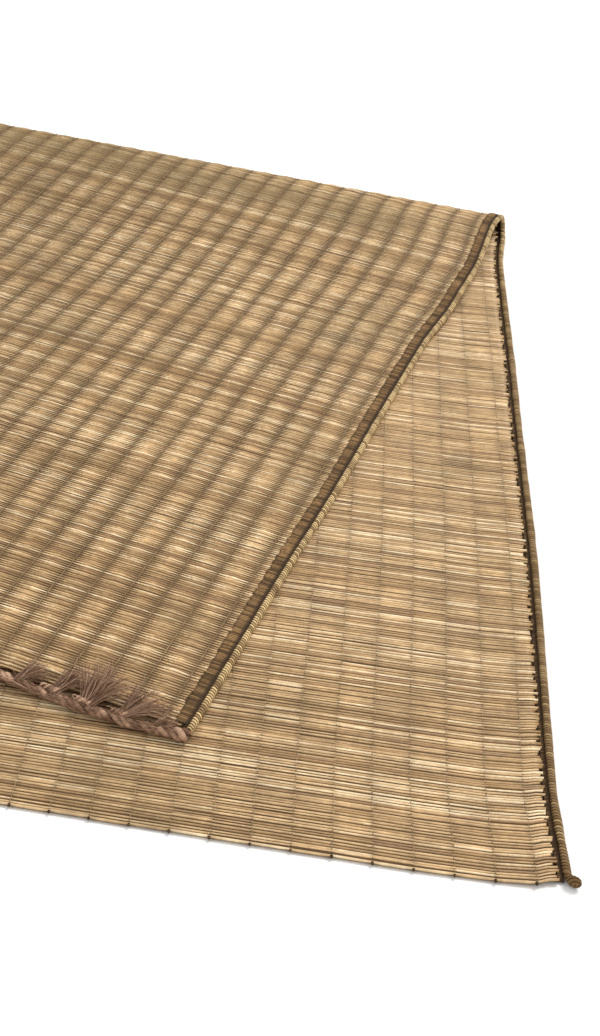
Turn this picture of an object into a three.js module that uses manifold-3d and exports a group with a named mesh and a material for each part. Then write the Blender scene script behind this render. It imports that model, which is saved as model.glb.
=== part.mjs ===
// A woven grass mat, folded once over itself along a slightly skewed line.
// Straight stems lie across the width, held by thin warp threads at an even spacing.
// A wrapped cord and a dark stitched band run along each long side, and a twisted
// bast cord with frayed tufts closes the upper layer's end.
// Millimetres, +Z up, X across the width, Y along the length away from the lower end.

import * as THREE from 'three';
import { mergeVertices } from 'three/addons/utils/BufferGeometryUtils.js';
import Module from 'manifold-3d';

const wasm = await Module();
wasm.setup();

// Flat sheet
const MAT_WIDTH = 900;
const MAT_LENGTH = 1910;
const THICKNESS = 3.0;
const WARP_PITCH = 25;
const FIRST_WARP = 12.5;
const WARP_RELIEF = 0.35;
const END_SCALLOP = 0.8;

// Fold
const FOLD_SKEW = THREE.MathUtils.degToRad(7.43);
const FOLD_AT = 952;
const LEAD = 14.5;
const SLIDE = 7.6;
const FLOOR_MID = THICKNESS / 2;

// Turns of the sheet over the fold, from the lower layer to the upper one
const ROLL = [
  { part: 'lift', arc: 30, turn: 4, rows: 1 },
  { part: 'back low', arc: 12, turn: 55, rows: 3 },
  { part: 'back', arc: 12, turn: 66, rows: 4 },
  { part: 'crest', arc: 12, turn: 55, rows: 3 },
  { part: 'shoulder', arc: 60, turn: 5, rows: 2 },
  { part: 'slope', arc: 126, turn: 0, rows: 1 },
  { part: 'run out', arc: 120, turn: -5, rows: 2 },
];
const LOWER_SPANS = 5;
const UPPER_SPANS = 6;

// Height of the upper layer's middle along the width: on the lower layer, over its
// left cord, and past that cord down to the floor
const UPPER_MID = 6.5;
const UPPER_HEIGHTS = [
  { x: -700, mid: 6.5 },
  { x: -830, mid: 9.2 },
  { x: -985, mid: 9.2 },
  { x: -1085, mid: 3.15 },
];

// How far the right edge wanders inward along the sheet, and how wide a strip follows it
const EDGE_SWAY = [
  { along: 0, inward: -1.7 },
  { along: 90, inward: 2.5 },
  { along: 350, inward: 0.2 },
  { along: 620, inward: 2.6 },
  { along: 890, inward: 5.5 },
  { along: 1010, inward: -2.0 },
  { along: 1130, inward: -8.3 },
  { along: 1200, inward: -6.3 },
  { along: 1300, inward: -0.3 },
  { along: 1400, inward: -0.6 },
  { along: 1600, inward: -2.7 },
  { along: 1700, inward: -1.8 },
  { along: 1910, inward: -3.0 },
];
const SWAY_WIDTH = 260;

// How far the lower end is set back across the width
const END_SWAY = [
  { across: 0, back: 5.5 },
  { across: 14, back: 0.6 },
  { across: 45, back: -1.4 },
  { across: 90, back: -2.0 },
  { across: 150, back: -1.2 },
  { across: 480, back: 2.8 },
  { across: 900, back: 2.5 },
];

// Side cords, side bands
const CORD_DIAMETER = 6.0;
const CORD_OFFSET = 7.0;
const CORD_SIDES = 8;
const EDGE_RAISE = CORD_DIAMETER / 2 - FLOOR_MID;
const EDGE_RAISE_WIDTH = 45;
const BAND_OUT = 3.4;
const BAND_IN = 5.0;
const BAND_THICKNESS = 0.8;
const BAND_GAP = 0.45;

// Stations of the side cords' ends: along past the mat's end, outward, up, radius
const LOWER_KNOT = [
  { along: -6.0, out: 0.1, up: 0.2, radius: 2.8 },
  { along: -3.6, out: 0.9, up: 0.6, radius: 2.5 },
  { along: -2.2, out: 1.9, up: 1.3, radius: 3.6 },
  { along: -0.6, out: 3.3, up: 1.4, radius: 4.3 },
  { along: 1.2, out: 4.5, up: 1.3, radius: 3.6 },
  { along: 2.4, out: 5.2, up: 1.2, radius: 1.8 },
];
const KNOT_START = 8.5;

// End cord of the upper layer: how far its middle is past the sheet's end, by width
const BRAID_LINE = [
  { across: -8, past: 9.0 },
  { across: 12, past: 12.0 },
  { across: 34, past: 14.5 },
  { across: 60, past: 14.5 },
  { across: 92, past: 13.0 },
  { across: 135, past: 9.0 },
  { across: 210, past: 5.5 },
  { across: 320, past: 4.6 },
  { across: 908, past: 4.6 },
];
const CORD_SHORT = 6.1;
const BRAID_RADIUS = 3.5;
const BRAID_LOBE = 0.5;
const BRAID_PITCH = 27;
const BRAID_STEPS_PER_TURN = 7;
const BRAID_LIFT = 1.35;
const BRAID_KNOTS = [
  { at: 'right', reach: 9, swell: 1.6 },
  { at: 'left', reach: 9, swell: 1.2 },
];

// Frayed tufts: warp counted from the right, locks, length, spread, lean over the mat
const TUFTS = [
  { warp: 0, locks: 4, length: 14, spread: 26, lean: 62, side: -70 },
  { warp: 1, locks: 7, length: 37, spread: 22, lean: 60, side: -52 },
  { warp: 2, locks: 12, length: 38, spread: 36, lean: 55, side: -34 },
  { warp: 3, locks: 6, length: 36, spread: 12, lean: 68, side: -50 },
  { warp: 4, locks: 5, length: 25, spread: 10, lean: 66, side: -48 },
];
const LOCK_RADIUS = 1.1;
const LOCK_ROOT_UP = 2.4;

const COS = Math.cos(FOLD_SKEW);
const SIN = Math.sin(FOLD_SKEW);
const smooth = (a, b, v) => {
  const t = Math.min(1, Math.max(0, (v - a) / (b - a)));
  return t * t * (3 - 2 * t);
};

// Section of the fold: arc length, distance in front of the fold line, height
function foldSection() {
  const pts = [{ arc: 0, d: LEAD, z: FLOOR_MID }];
  let heading = 0;
  for (const turn of ROLL) {
    const steps = Math.max(12, Math.ceil(Math.abs(turn.turn) / 3));
    const bend = THREE.MathUtils.degToRad(turn.turn);
    for (let i = 0; i < steps; i += 1) {
      const a = heading + (bend * (i + 0.5)) / steps;
      const last = pts[pts.length - 1];
      pts.push({
        arc: last.arc + turn.arc / steps,
        d: last.d - (Math.cos(a) * turn.arc) / steps,
        z: last.z + (Math.sin(a) * turn.arc) / steps,
      });
    }
    heading += bend;
  }
  return pts;
}
const SECTION = foldSection();
const SECTION_ARC = SECTION[SECTION.length - 1].arc;
const SECTION_END = SECTION[SECTION.length - 1];

function onSection(arc) {
  if (arc <= 0) return { d: LEAD - arc, z: FLOOR_MID };
  if (arc >= SECTION_ARC) return { d: SECTION_END.d + arc - SECTION_ARC, z: SECTION_END.z };
  let i = 1;
  while (SECTION[i].arc < arc) i += 1;
  const p = SECTION[i - 1];
  const q = SECTION[i];
  const k = (arc - p.arc) / (q.arc - p.arc);
  return { d: p.d + (q.d - p.d) * k, z: p.z + (q.z - p.z) * k };
}

// Value read from a table's rows, straight or eased between them
function between(rows, from, to, at, ease) {
  const sign = rows[1][from] > rows[0][from] ? 1 : -1;
  for (let i = 1; i < rows.length; i += 1) {
    const [p, q] = [rows[i - 1], rows[i]];
    if ((at - q[from]) * sign <= 0) {
      const t = Math.max(0, (at - p[from]) / (q[from] - p[from]));
      return p[to] + (q[to] - p[to]) * (ease ? smooth(0, 1, t) : t);
    }
  }
  return rows[rows.length - 1][to];
}

const upperHeight = (x) => between(UPPER_HEIGHTS, 'x', 'mid', x, false);
const endAt = (w) => between(END_SWAY, 'across', 'back', w, true);
const braidAt = (w) => MAT_LENGTH + between(BRAID_LINE, 'across', 'past', w, true);

const foldArc = (w, s) => -w * SIN + (s - FOLD_AT) * COS + LEAD;
const alongAtArc = (w, arc) => FOLD_AT + (w * SIN + arc - LEAD) / COS;

// Middle surface: w across from the right edge, s along from the lower end
function middle(w, s) {
  const arc = foldArc(w, s);
  const strip = 1 - smooth(0, SWAY_WIDTH, w);
  const sway = strip * between(EDGE_SWAY, 'along', 'inward', s, true);
  const t = w * COS + (s - FOLD_AT) * SIN + SLIDE * smooth(20, 90, arc) + sway;
  const { d, z } = onSection(arc);
  const x = -t * COS - d * SIN;
  const y = FOLD_AT + t * SIN - d * COS;
  const near = Math.min(w, MAT_WIDTH - w);
  const raise = EDGE_RAISE * (1 - smooth(0, EDGE_RAISE_WIDTH, near)) * (1 - smooth(0, 80, arc));
  const over = smooth(90, 200, arc);
  const lift = (upperHeight(x) - UPPER_MID) * over + (UPPER_MID - SECTION_END.z) * smooth(90, 300, arc);
  return new THREE.Vector3(x, y, z + raise + lift);
}

// Direction out of the outer face, which is under the lower layer and on the upper one
function outward(w, s) {
  const e = 0.25;
  const dw = middle(w + e, s).sub(middle(w - e, s));
  const ds = middle(w, s + e).sub(middle(w, s - e));
  return dw.cross(ds).normalize();
}

function place(w, s, offset) {
  return middle(w, s).addScaledVector(outward(w, s), offset);
}

// Lines across the sheet: each gives s for a width w
function crossLines() {
  const lines = [];
  for (let i = 0; i < LOWER_SPANS; i += 1) {
    lines.push((w) => {
      const end = endAt(w);
      return end + ((alongAtArc(w, 0) - end) * i) / LOWER_SPANS;
    });
  }
  let arc = 0;
  for (const turn of ROLL) {
    for (let i = 0; i < turn.rows; i += 1) {
      const at = arc + (turn.arc * i) / turn.rows;
      lines.push((w) => alongAtArc(w, at));
    }
    arc += turn.arc;
  }
  for (let i = 0; i <= UPPER_SPANS; i += 1) {
    lines.push((w) => {
      const start = alongAtArc(w, SECTION_ARC);
      return start + ((MAT_LENGTH - start) * i) / UPPER_SPANS;
    });
  }
  return lines;
}
const LINES = crossLines();

// Closed solid from rings of equal length, its ends closed across each ring
function loft(rings) {
  const n = rings[0].length;
  const points = [];
  const index = [];
  for (const ring of rings) {
    for (const p of ring) points.push(p.x, p.y, p.z);
  }
  for (let i = 0; i + 1 < rings.length; i += 1) {
    for (let j = 0; j < n; j += 1) {
      const a = i * n + j;
      const b = i * n + ((j + 1) % n);
      index.push(a, b, a + n, b, b + n, a + n);
    }
  }
  const cap = (base, flip) => {
    for (let j = 0; j + 1 <= n - 2 - j; j += 1) {
      const [a, b, c, d] = [base + j, base + j + 1, base + n - 2 - j, base + n - 1 - j];
      if (flip) index.push(a, d, b);
      else index.push(a, b, d);
      if (b !== c && flip) index.push(b, d, c);
      if (b !== c && !flip) index.push(b, c, d);
    }
  };
  cap(0, true);
  cap((rings.length - 1) * n, false);
  const g = new THREE.BufferGeometry();
  g.setAttribute('position', new THREE.Float32BufferAttribute(points, 3));
  g.setIndex(index);
  return facingOut(g);
}

function volume(g) {
  const p = g.attributes.position;
  const ix = g.index;
  const a = new THREE.Vector3();
  const b = new THREE.Vector3();
  const c = new THREE.Vector3();
  let v = 0;
  for (let i = 0; i < ix.count; i += 3) {
    a.fromBufferAttribute(p, ix.getX(i));
    b.fromBufferAttribute(p, ix.getX(i + 1));
    c.fromBufferAttribute(p, ix.getX(i + 2));
    v += a.dot(b.cross(c)) / 6;
  }
  return v;
}

function facingOut(g) {
  if (volume(g) < 0) {
    const ix = g.index.array;
    for (let i = 0; i < ix.length; i += 3) {
      const k = ix[i + 1];
      ix[i + 1] = ix[i + 2];
      ix[i + 2] = k;
    }
  }
  return g;
}

// The sheet: columns at each warp and each crest between warps, lines along the length
function sheetGeometry() {
  const columns = [{ w: 0, relief: 0 }, { w: FIRST_WARP / 2, relief: 0 }];
  const warps = Math.round((MAT_WIDTH - 2 * FIRST_WARP) / WARP_PITCH) + 1;
  for (let k = 0; k < warps; k += 1) {
    const w = FIRST_WARP + k * WARP_PITCH;
    columns.push({ w, relief: -1 });
    if (k + 1 < warps) columns.push({ w: w + WARP_PITCH / 2, relief: 1 });
  }
  columns.push({ w: MAT_WIDTH - FIRST_WARP / 2, relief: 0 }, { w: MAT_WIDTH, relief: 0 });
  const rings = LINES.map((line, row) => {
    const top = [];
    const under = [];
    for (const { w, relief } of columns) {
      const end = row === 0 ? -END_SCALLOP * Math.min(0, relief) : 0;
      const s = line(w) + end;
      const onFloor = foldArc(w, s) < 1;
      const half = THICKNESS / 2;
      const near = Math.min(w, MAT_WIDTH - w);
      const outer = onFloor && near > EDGE_RAISE_WIDTH ? 0 : WARP_RELIEF * relief;
      const flat = onFloor ? 0 : outer;
      under.push(place(w, s, half + flat));
      top.push(place(w, s, -half - WARP_RELIEF * relief));
    }
    return top.concat(under.reverse());
  });
  return loft(rings);
}

// Round section about a centre, square to the line between its neighbours
function ringAt(centre, forward, radius, sides, turn, lobe) {
  const side = new THREE.Vector3(0, 0, 1).cross(forward);
  if (side.lengthSq() < 1e-6) side.set(1, 0, 0);
  side.normalize();
  const up = forward.clone().cross(side).normalize();
  const ring = [];
  for (let j = 0; j < sides; j += 1) {
    const a = (j / sides) * 2 * Math.PI + turn;
    const r = radius + (lobe ? lobe * (j % 2 ? -1 : 1) : 0);
    const p = centre.clone().addScaledVector(side, Math.cos(a) * r);
    ring.push(p.addScaledVector(up, Math.sin(a) * r));
  }
  return ring;
}

// Side cord: follows the fold beside the sheet, with a knot past the lower corner
function sideCord(rightSide) {
  const w = rightSide ? -CORD_OFFSET : MAT_WIDTH + CORD_OFFSET;
  const out = rightSide ? 1 : -1;
  const rings = [];
  const across = new THREE.Vector3(-1, 0, 0);
  for (const knot of [...LOWER_KNOT].reverse()) {
    const c = middle(w, endAt(w));
    c.x += knot.out * out;
    c.y -= knot.along;
    c.z = Math.max(c.z + knot.up, knot.radius + 0.02);
    const ring = [];
    for (let j = 0; j < CORD_SIDES; j += 1) {
      const a = ((j + 0.5) / CORD_SIDES) * 2 * Math.PI;
      const p = c.clone().addScaledVector(across, Math.cos(a) * knot.radius);
      p.z += Math.sin(a) * knot.radius;
      ring.push(p);
    }
    rings.push(ring);
  }
  const last = braidAt(w) - CORD_SHORT;
  for (const [row, line] of LINES.entries()) {
    const s = row + 1 < LINES.length ? Math.max(line(w), endAt(w) + KNOT_START) : last;
    const c = middle(w, s);
    const n = outward(w, s);
    const forward = middle(w, s + 0.5).sub(middle(w, s - 0.5)).normalize();
    const side = n.clone().cross(forward).normalize();
    const ring = [];
    for (let j = 0; j < CORD_SIDES; j += 1) {
      const a = ((j + 0.5) / CORD_SIDES) * 2 * Math.PI;
      const p = c.clone().addScaledVector(side, Math.cos(a) * -1 * (CORD_DIAMETER / 2));
      ring.push(p.addScaledVector(n, -Math.sin(a) * (CORD_DIAMETER / 2)));
    }
    rings.push(ring);
  }
  return loft(rings);
}

// Side band: a thin strip on the outer face, reaching past the stem ends to the cord
function sideBand(rightSide) {
  const edge = (v) => (rightSide ? v : MAT_WIDTH - v);
  const low = THICKNESS / 2 + BAND_GAP;
  const rings = LINES.map((line, row) => {
    const ring = [];
    for (const [v, h] of [[-BAND_OUT, 0], [BAND_IN, 0], [BAND_IN, 1], [-BAND_OUT, 1]]) {
      const w = edge(v);
      let s = line(w);
      if (row === 0) s += 1;
      if (row === LINES.length - 1) s = MAT_LENGTH - 1;
      ring.push(place(w, s, low + h * BAND_THICKNESS));
    }
    return ring;
  });
  return loft(rings);
}

function toSolid(g) {
  const merged = mergeVertices(g, 1e-4);
  return new wasm.Manifold(new wasm.Mesh({
    numProp: 3,
    vertProperties: new Float32Array(merged.attributes.position.array),
    triVerts: new Uint32Array(merged.index.array),
  }));
}

function fromSolid(solid) {
  const m = solid.getMesh();
  const g = new THREE.BufferGeometry();
  g.setAttribute('position', new THREE.BufferAttribute(new Float32Array(m.vertProperties), 3));
  g.setIndex(new THREE.BufferAttribute(new Uint32Array(m.triVerts), 1));
  return g;
}

// Middle line of the end cord, v counted from the right corner
function braidPoint(v) {
  const p = middle(v, braidAt(v));
  p.z += BRAID_LIFT;
  return p;
}

// End cord: three twisted strands, swollen into a knot at each corner
function endBraid() {
  const first = -CORD_OFFSET - 1;
  const last = MAT_WIDTH + CORD_OFFSET + 1;
  const step = BRAID_PITCH / BRAID_STEPS_PER_TURN;
  const count = Math.round((last - first) / step);
  const rings = [];
  for (let i = 0; i <= count; i += 1) {
    const v = first + ((last - first) * i) / count;
    const forward = braidPoint(v + 0.5).sub(braidPoint(v - 0.5)).normalize();
    let swell = 0;
    for (const knot of BRAID_KNOTS) {
      const from = knot.at === 'right' ? v - first : last - v;
      if (from < knot.reach) swell += knot.swell * Math.sin((Math.PI * (from + 1)) / (knot.reach + 1));
    }
    const turn = (i / BRAID_STEPS_PER_TURN) * 2 * Math.PI;
    const c = braidPoint(v);
    c.addScaledVector(new THREE.Vector3(0, -1, 0), swell * 0.8);
    c.z += swell * 0.6;
    rings.push(ringAt(c, forward, BRAID_RADIUS + swell, 6, turn, BRAID_LOBE));
  }
  let solid = toSolid(loft(rings));
  let seed = 7;
  const noise = () => {
    seed = (seed * 16807) % 2147483647;
    return seed / 2147483647 - 0.5;
  };
  for (const tuft of TUFTS) {
    const at = FIRST_WARP + tuft.warp * WARP_PITCH;
    for (let i = 0; i < tuft.locks; i += 1) {
      const fan = tuft.locks > 1 ? i / (tuft.locks - 1) - 0.5 : 0;
      const side = THREE.MathUtils.degToRad(tuft.side + fan * tuft.spread * 1.6 + noise() * 6);
      const rise = THREE.MathUtils.degToRad(90 - tuft.lean + noise() * 10);
      const length = tuft.length * (0.85 + 0.35 * (noise() + 0.5));
      const root = braidPoint(at + fan * Math.min(9, tuft.locks * 1.1));
      root.z += LOCK_ROOT_UP;
      const away = new THREE.Vector3(-Math.sin(side), Math.cos(side), 0);
      const rings3 = [];
      for (const [k, r] of [[0, 1], [0.35, 1.05], [0.72, 0.8], [1, 0.35]]) {
        const reach = length * k;
        const c = root.clone();
        c.addScaledVector(away, reach * Math.cos(rise) * (0.7 + 0.3 * k));
        c.z += reach * Math.sin(rise) * (1.15 - 0.3 * k);
        const dir = away.clone().multiplyScalar(Math.cos(rise));
        dir.z = Math.sin(rise);
        rings3.push(ringAt(c, dir.normalize(), LOCK_RADIUS * r, 3, noise() * 0.4, 0));
      }
      solid = solid.add(toSolid(loft(rings3)));
    }
  }
  return fromSolid(solid);
}

const straw = new THREE.MeshStandardMaterial({ color: 0xc8aa7d, roughness: 0.75, metalness: 0 });
const wrap = new THREE.MeshStandardMaterial({ color: 0xb09863, roughness: 0.7, metalness: 0 });
const dark = new THREE.MeshStandardMaterial({ color: 0x574231, roughness: 0.85, metalness: 0 });
const bast = new THREE.MeshStandardMaterial({ color: 0x97705a, roughness: 0.85, metalness: 0 });

const pieces = [
  ['mat_sheet', sheetGeometry(), straw],
  ['side_binding_right', sideCord(true), wrap],
  ['side_binding_left', sideCord(false), wrap],
  ['side_band_right', sideBand(true), dark],
  ['side_band_left', sideBand(false), dark],
  ['end_braid', endBraid(), bast],
];

const box = new THREE.Box3();
for (const [, g] of pieces) {
  g.computeBoundingBox();
  box.union(g.boundingBox);
}
const group = new THREE.Group();
group.position.set(-(box.min.x + box.max.x) / 2, -(box.min.y + box.max.y) / 2, -box.min.z);
for (const [name, geometry, material] of pieces) {
  const plain = mergeVertices(geometry, 1e-4);
  plain.computeVertexNormals();
  const mesh = new THREE.Mesh(plain, material);
  mesh.name = name;
  group.add(mesh);
}

export default group;
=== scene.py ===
"""A woven grass mat folded once over itself, lying on a pale floor.

Straight grass stems lie across the width on thin warp threads. A wrapped cord and a dark
stitched band run along each long side, and a twisted bast cord with frayed tufts closes the
upper layer's end. Sizes are worked out in millimetres in the mat's own terms, w across from
the right edge and s along from the lower end, and put into meshes in metres.
"""

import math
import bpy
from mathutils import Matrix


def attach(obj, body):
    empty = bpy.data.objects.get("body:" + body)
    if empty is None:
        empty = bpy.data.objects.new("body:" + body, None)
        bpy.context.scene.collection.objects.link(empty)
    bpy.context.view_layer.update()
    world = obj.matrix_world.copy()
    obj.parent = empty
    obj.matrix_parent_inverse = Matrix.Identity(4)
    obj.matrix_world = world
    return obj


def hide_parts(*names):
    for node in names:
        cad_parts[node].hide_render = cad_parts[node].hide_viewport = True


bl_info = {
    "name": "Folded grass mat",
    "version": (1, 0, 0),
    "blender": (4, 5, 0),
    "location": "3D View > Sidebar > Grass mat",
    "description": "Builds a folded woven grass mat from stems, threads, cords and bast",
    "category": "Add Mesh",
}

import bpy
import numpy as np
from bpy.props import FloatProperty, FloatVectorProperty, IntProperty, PointerProperty
from mathutils import Matrix, Vector

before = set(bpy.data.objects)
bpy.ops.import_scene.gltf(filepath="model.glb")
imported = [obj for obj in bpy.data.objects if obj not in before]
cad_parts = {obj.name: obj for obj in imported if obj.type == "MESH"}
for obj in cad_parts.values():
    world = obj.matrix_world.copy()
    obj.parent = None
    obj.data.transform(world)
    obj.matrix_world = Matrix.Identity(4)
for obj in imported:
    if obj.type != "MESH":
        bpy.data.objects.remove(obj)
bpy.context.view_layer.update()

# Millimetres in a metre
MM = 1000.0

# Where the middle of the part's box is, in the mat's own frame
CENTRE = (-553.886, 549.291)

# The flat sheet and its warps
WIDTH = 900.0
LENGTH = 1910.0
THICKNESS = 3.0
WARP_PITCH = 25.0
FIRST_WARP = 12.5
WARPS = 36
WARP_LINES = FIRST_WARP + WARP_PITCH * np.arange(WARPS)

# The fold: its skew, where it crosses the right edge, how far its roll lies in front of it,
# and the length and the turn in degrees of each stretch of the roll
FOLD_SKEW = math.radians(7.43)
COS = math.cos(FOLD_SKEW)
SIN = math.sin(FOLD_SKEW)
FOLD_AT = 952.0
LEAD = 14.5
ROLL = ((30, 4), (12, 55), (12, 66), (12, 55), (60, 5), (126, 0), (120, -5))

# How far the upper layer is slid to the left, and the arc lengths over which that grows
SLIDE = 7.6
SLIDE_ARC = (20, 90)

# Height of the upper layer's middle by the distance to the left: on the lower layer, over its
# left cord and down beside it, and the arc lengths over which it comes to that height
UPPER_MID = 6.5
UPPER_HEIGHTS = ((700, 6.5), (830, 9.2), (985, 9.2), (1085, 3.15))
LIFT_ARC = (90, 200)
SETTLE_ARC = (90, 300)

# How far the right edge strays to the left by the length along it, and the width that shares it
EDGE_SWAY = (
    (0, -1.7), (90, 2.5), (350, 0.2), (620, 2.6), (890, 5.5), (1010, -2.0), (1130, -8.3),
    (1200, -6.3), (1300, -0.3), (1400, -0.6), (1600, -2.7), (1700, -1.8), (1910, -3.0),
)
SWAY_WIDTH = 260.0

# Where the lower end lies along the sheet, by the width
END_SWAY = (
    (0, 5.5), (14, 0.6), (45, -1.4), (90, -2.0), (150, -1.2), (480, 2.8), (900, 2.5),
)

# The lower layer's sides are raised toward the height of the cords
EDGE_RAISE = 1.5
EDGE_RAISE_WIDTH = 45.0
RAISE_ARC = (0, 80)

# The side cords' middle outside the edge, and the end cord's middle past the sheet by the width
CORD_OFFSET = 7.0
BRAID_LINE = (
    (-8, 9.0), (12, 12.0), (34, 14.5), (60, 14.5), (92, 13.0), (135, 9.0), (210, 5.5),
    (320, 4.6), (908, 4.6),
)
CORD_SHORT = 6.1
BRAID_LIFT = 1.35

# The knot at the lower corner: how far along, out and up, and its radius
LOWER_KNOT = (
    (-6.0, 0.1, 0.2, 2.6), (-3.6, 0.9, 0.6, 2.4), (-2.2, 1.9, 1.3, 3.4),
    (-0.6, 3.3, 1.4, 4.2), (1.2, 4.5, 1.3, 3.5), (2.4, 5.2, 1.2, 1.6),
)
KNOT_START = 8.5

# The tufts: warp, locks, length, then spread, lean from upright and side turn in degrees
TUFTS = (
    (0, 4, 14, 26, 62, -70), (1, 7, 37, 22, 60, -52), (2, 12, 38, 36, 55, -34),
    (3, 6, 36, 12, 68, -50), (4, 5, 25, 10, 66, -48),
)
LOCK_ROOT_UP = 2.4


def smooth(a, b, v):
    """0 at a, 1 at b, and a smooth step between them, whichever is the larger."""
    t = np.clip((v - a) / (b - a), 0, 1)
    return t * t * (3 - 2 * t)


def eased(rows, v):
    """A table's value at v, eased by a smooth step from each row to the next."""
    at = np.array([r[0] for r in rows], float)
    value = np.array([r[1] for r in rows], float)
    i = np.clip(np.searchsorted(at, v, side="left"), 1, len(rows) - 1)
    t = smooth(0, 1, (v - at[i - 1]) / (at[i] - at[i - 1]))
    return value[i - 1] + (value[i] - value[i - 1]) * t


def drifting(at, marks, draw):
    """A slowly drifting value: drawn at evenly spaced marks, with straight lines between."""
    marks = np.arange(*marks)
    return np.interp(at, marks, draw(len(marks)))


def fold_section():
    """Arc length, distance in front of the fold line and height along the turns of ROLL."""
    arc, d, z, heading = [0.0], [LEAD], [THICKNESS / 2], 0.0
    for length, turn in ROLL:
        steps = max(12, math.ceil(abs(turn) / 3))
        bend = math.radians(turn)
        for i in range(steps):
            a = heading + bend * (i + 0.5) / steps
            arc.append(arc[-1] + length / steps)
            d.append(d[-1] - math.cos(a) * length / steps)
            z.append(z[-1] + math.sin(a) * length / steps)
        heading += bend
    return np.array(arc), np.array(d), np.array(z)


ARC, FRONT, HEIGHT = fold_section()


def arc_at(w, s):
    """Arc length past the start of the roll: the distance square to the fold line."""
    return -w * SIN + (s - FOLD_AT) * COS + LEAD


def middle(w, s):
    """The sheet's middle: the flat point turned by the fold's skew, its distance from the
    fold line carried round the fold's section, with the right edge's sway added."""
    w, s = np.broadcast_arrays(np.asarray(w, float), np.asarray(s, float))
    arc = arc_at(w, s)
    sway = (1 - smooth(0, SWAY_WIDTH, w)) * eased(EDGE_SWAY, s)
    t = w * COS + (s - FOLD_AT) * SIN + SLIDE * smooth(*SLIDE_ARC, arc) + sway
    d = np.interp(arc, ARC, FRONT)
    d = d + np.maximum(0, -arc) + np.maximum(0, arc - ARC[-1])
    z = np.interp(arc, ARC, HEIGHT)
    x = -t * COS - d * SIN
    y = FOLD_AT + t * SIN - d * COS
    near = np.minimum(w, WIDTH - w)
    up = EDGE_RAISE * (1 - smooth(0, EDGE_RAISE_WIDTH, near)) * (1 - smooth(*RAISE_ARC, arc))
    at, mid = zip(*UPPER_HEIGHTS)
    lift = (np.interp(-x, at, mid) - UPPER_MID) * smooth(*LIFT_ARC, arc)
    lift = lift + (UPPER_MID - HEIGHT[-1]) * smooth(*SETTLE_ARC, arc)
    return np.stack([x, y, z + up + lift], -1)


def unit(v):
    """The same directions at length one."""
    return v / np.maximum(np.linalg.norm(v, axis=-1, keepdims=True), 1e-12)


def axes(w, s):
    """Unit directions on the sheet: across, along, and out of its outer face, from the
    differences of the middle a little to both sides."""
    reach = 0.4
    across = unit(middle(w + reach, s) - middle(w - reach, s))
    along = unit(middle(w, s + reach) - middle(w, s - reach))
    return across, along, unit(np.cross(across, along))


def end_at(w):
    """Where the lower end is along the sheet."""
    return eased(END_SWAY, np.asarray(w, float))


def braid_at(w):
    """Where the end cord's middle is along the sheet."""
    return LENGTH + eased(BRAID_LINE, np.asarray(w, float))


def braid_line(w):
    """The end cord's middle line: the sheet carried on past its end, and lifted."""
    line = middle(w, braid_at(w))
    line[..., 2] += BRAID_LIFT
    return line


# Meshes

# How far every point stays above the floor
FLOOR_CLEAR = 0.02


def keep_above(points, height):
    """Raises the points that are lower than the height to it."""
    points[..., 2] = np.maximum(points[..., 2], height)


def grid_faces(rows, cols, wrap=False):
    """Quads of a grid of points, row by row, the last column joined to the first if wrap."""
    i = np.arange(rows - 1)[:, None]
    j = np.arange(cols if wrap else cols - 1)[None, :]
    k = (j + 1) % cols
    quads = np.stack([i * cols + j, i * cols + k, (i + 1) * cols + k, (i + 1) * cols + j], -1)
    return quads.reshape(-1, 4)


def tubes(centre, side, up, r_side, r_up, sides, start=0.0):
    """Closed tubes: n paths of m stations, each a ring of points at the centre plus
    side * r_side * cos and up * r_up * sin of the angle. Gives points, and quads and caps."""
    n, m = centre.shape[:2]
    a = start + np.arange(sides) / sides * 2 * math.pi
    ca, sa = np.cos(a)[None, None, :, None], np.sin(a)[None, None, :, None]
    r_side = np.broadcast_to(r_side, (n, m))[:, :, None, None]
    r_up = np.broadcast_to(r_up, (n, m))[:, :, None, None]
    points = centre[:, :, None] + side[:, :, None] * r_side * ca + up[:, :, None] * r_up * sa
    one = grid_faces(m, sides, wrap=True)
    quads = (one[None] + (np.arange(n) * m * sides)[:, None, None]).reshape(-1, 4)
    first = np.arange(sides)[::-1][None] + (np.arange(n) * m * sides)[:, None]
    last = np.arange(sides)[None] + ((np.arange(n) + 1) * m * sides - sides)[:, None]
    return points, [quads, np.concatenate([first, last])]


def shell(top, under):
    """A closed strip: the upper rows joined to the under rows along both rims and both ends."""
    ring = np.concatenate([top, under[:, ::-1]], 1)
    rows, wide = ring.shape[:2]
    j = np.arange(wide // 2 - 1)
    cap = np.stack([j, j + 1, wide - 2 - j, wide - 1 - j], -1)
    return ring, [grid_faces(rows, wide, wrap=True), cap, cap[:, ::-1] + (rows - 1) * wide]


def path_frame(path):
    """Directions across and over a path: level and square to it, then square to both."""
    along = unit(np.gradient(path, axis=-2))
    level = np.cross(np.array([0.0, 0.0, 1.0]), along)
    upright = np.linalg.norm(level, axis=-1, keepdims=True) < 0.05
    level = unit(np.where(upright, [1.0, 0.0, 0.0], level))
    return level, unit(np.cross(along, level))


def ringed(value, sides):
    """A value at each station given to every point of its ring."""
    return np.repeat(value[:, :, None], sides, 2)


def ring_uv(w, s, sides):
    """Width and length in metres, the same all round each ring."""
    return np.stack([w, s], -1)[:, :, None] / MM + np.zeros((1, 1, sides, 1))


def plain(tone):
    """Values of a piece that has a tone at each point and no grooves."""
    return {"tone": tone, "groove_shade": 0 * tone}


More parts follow.
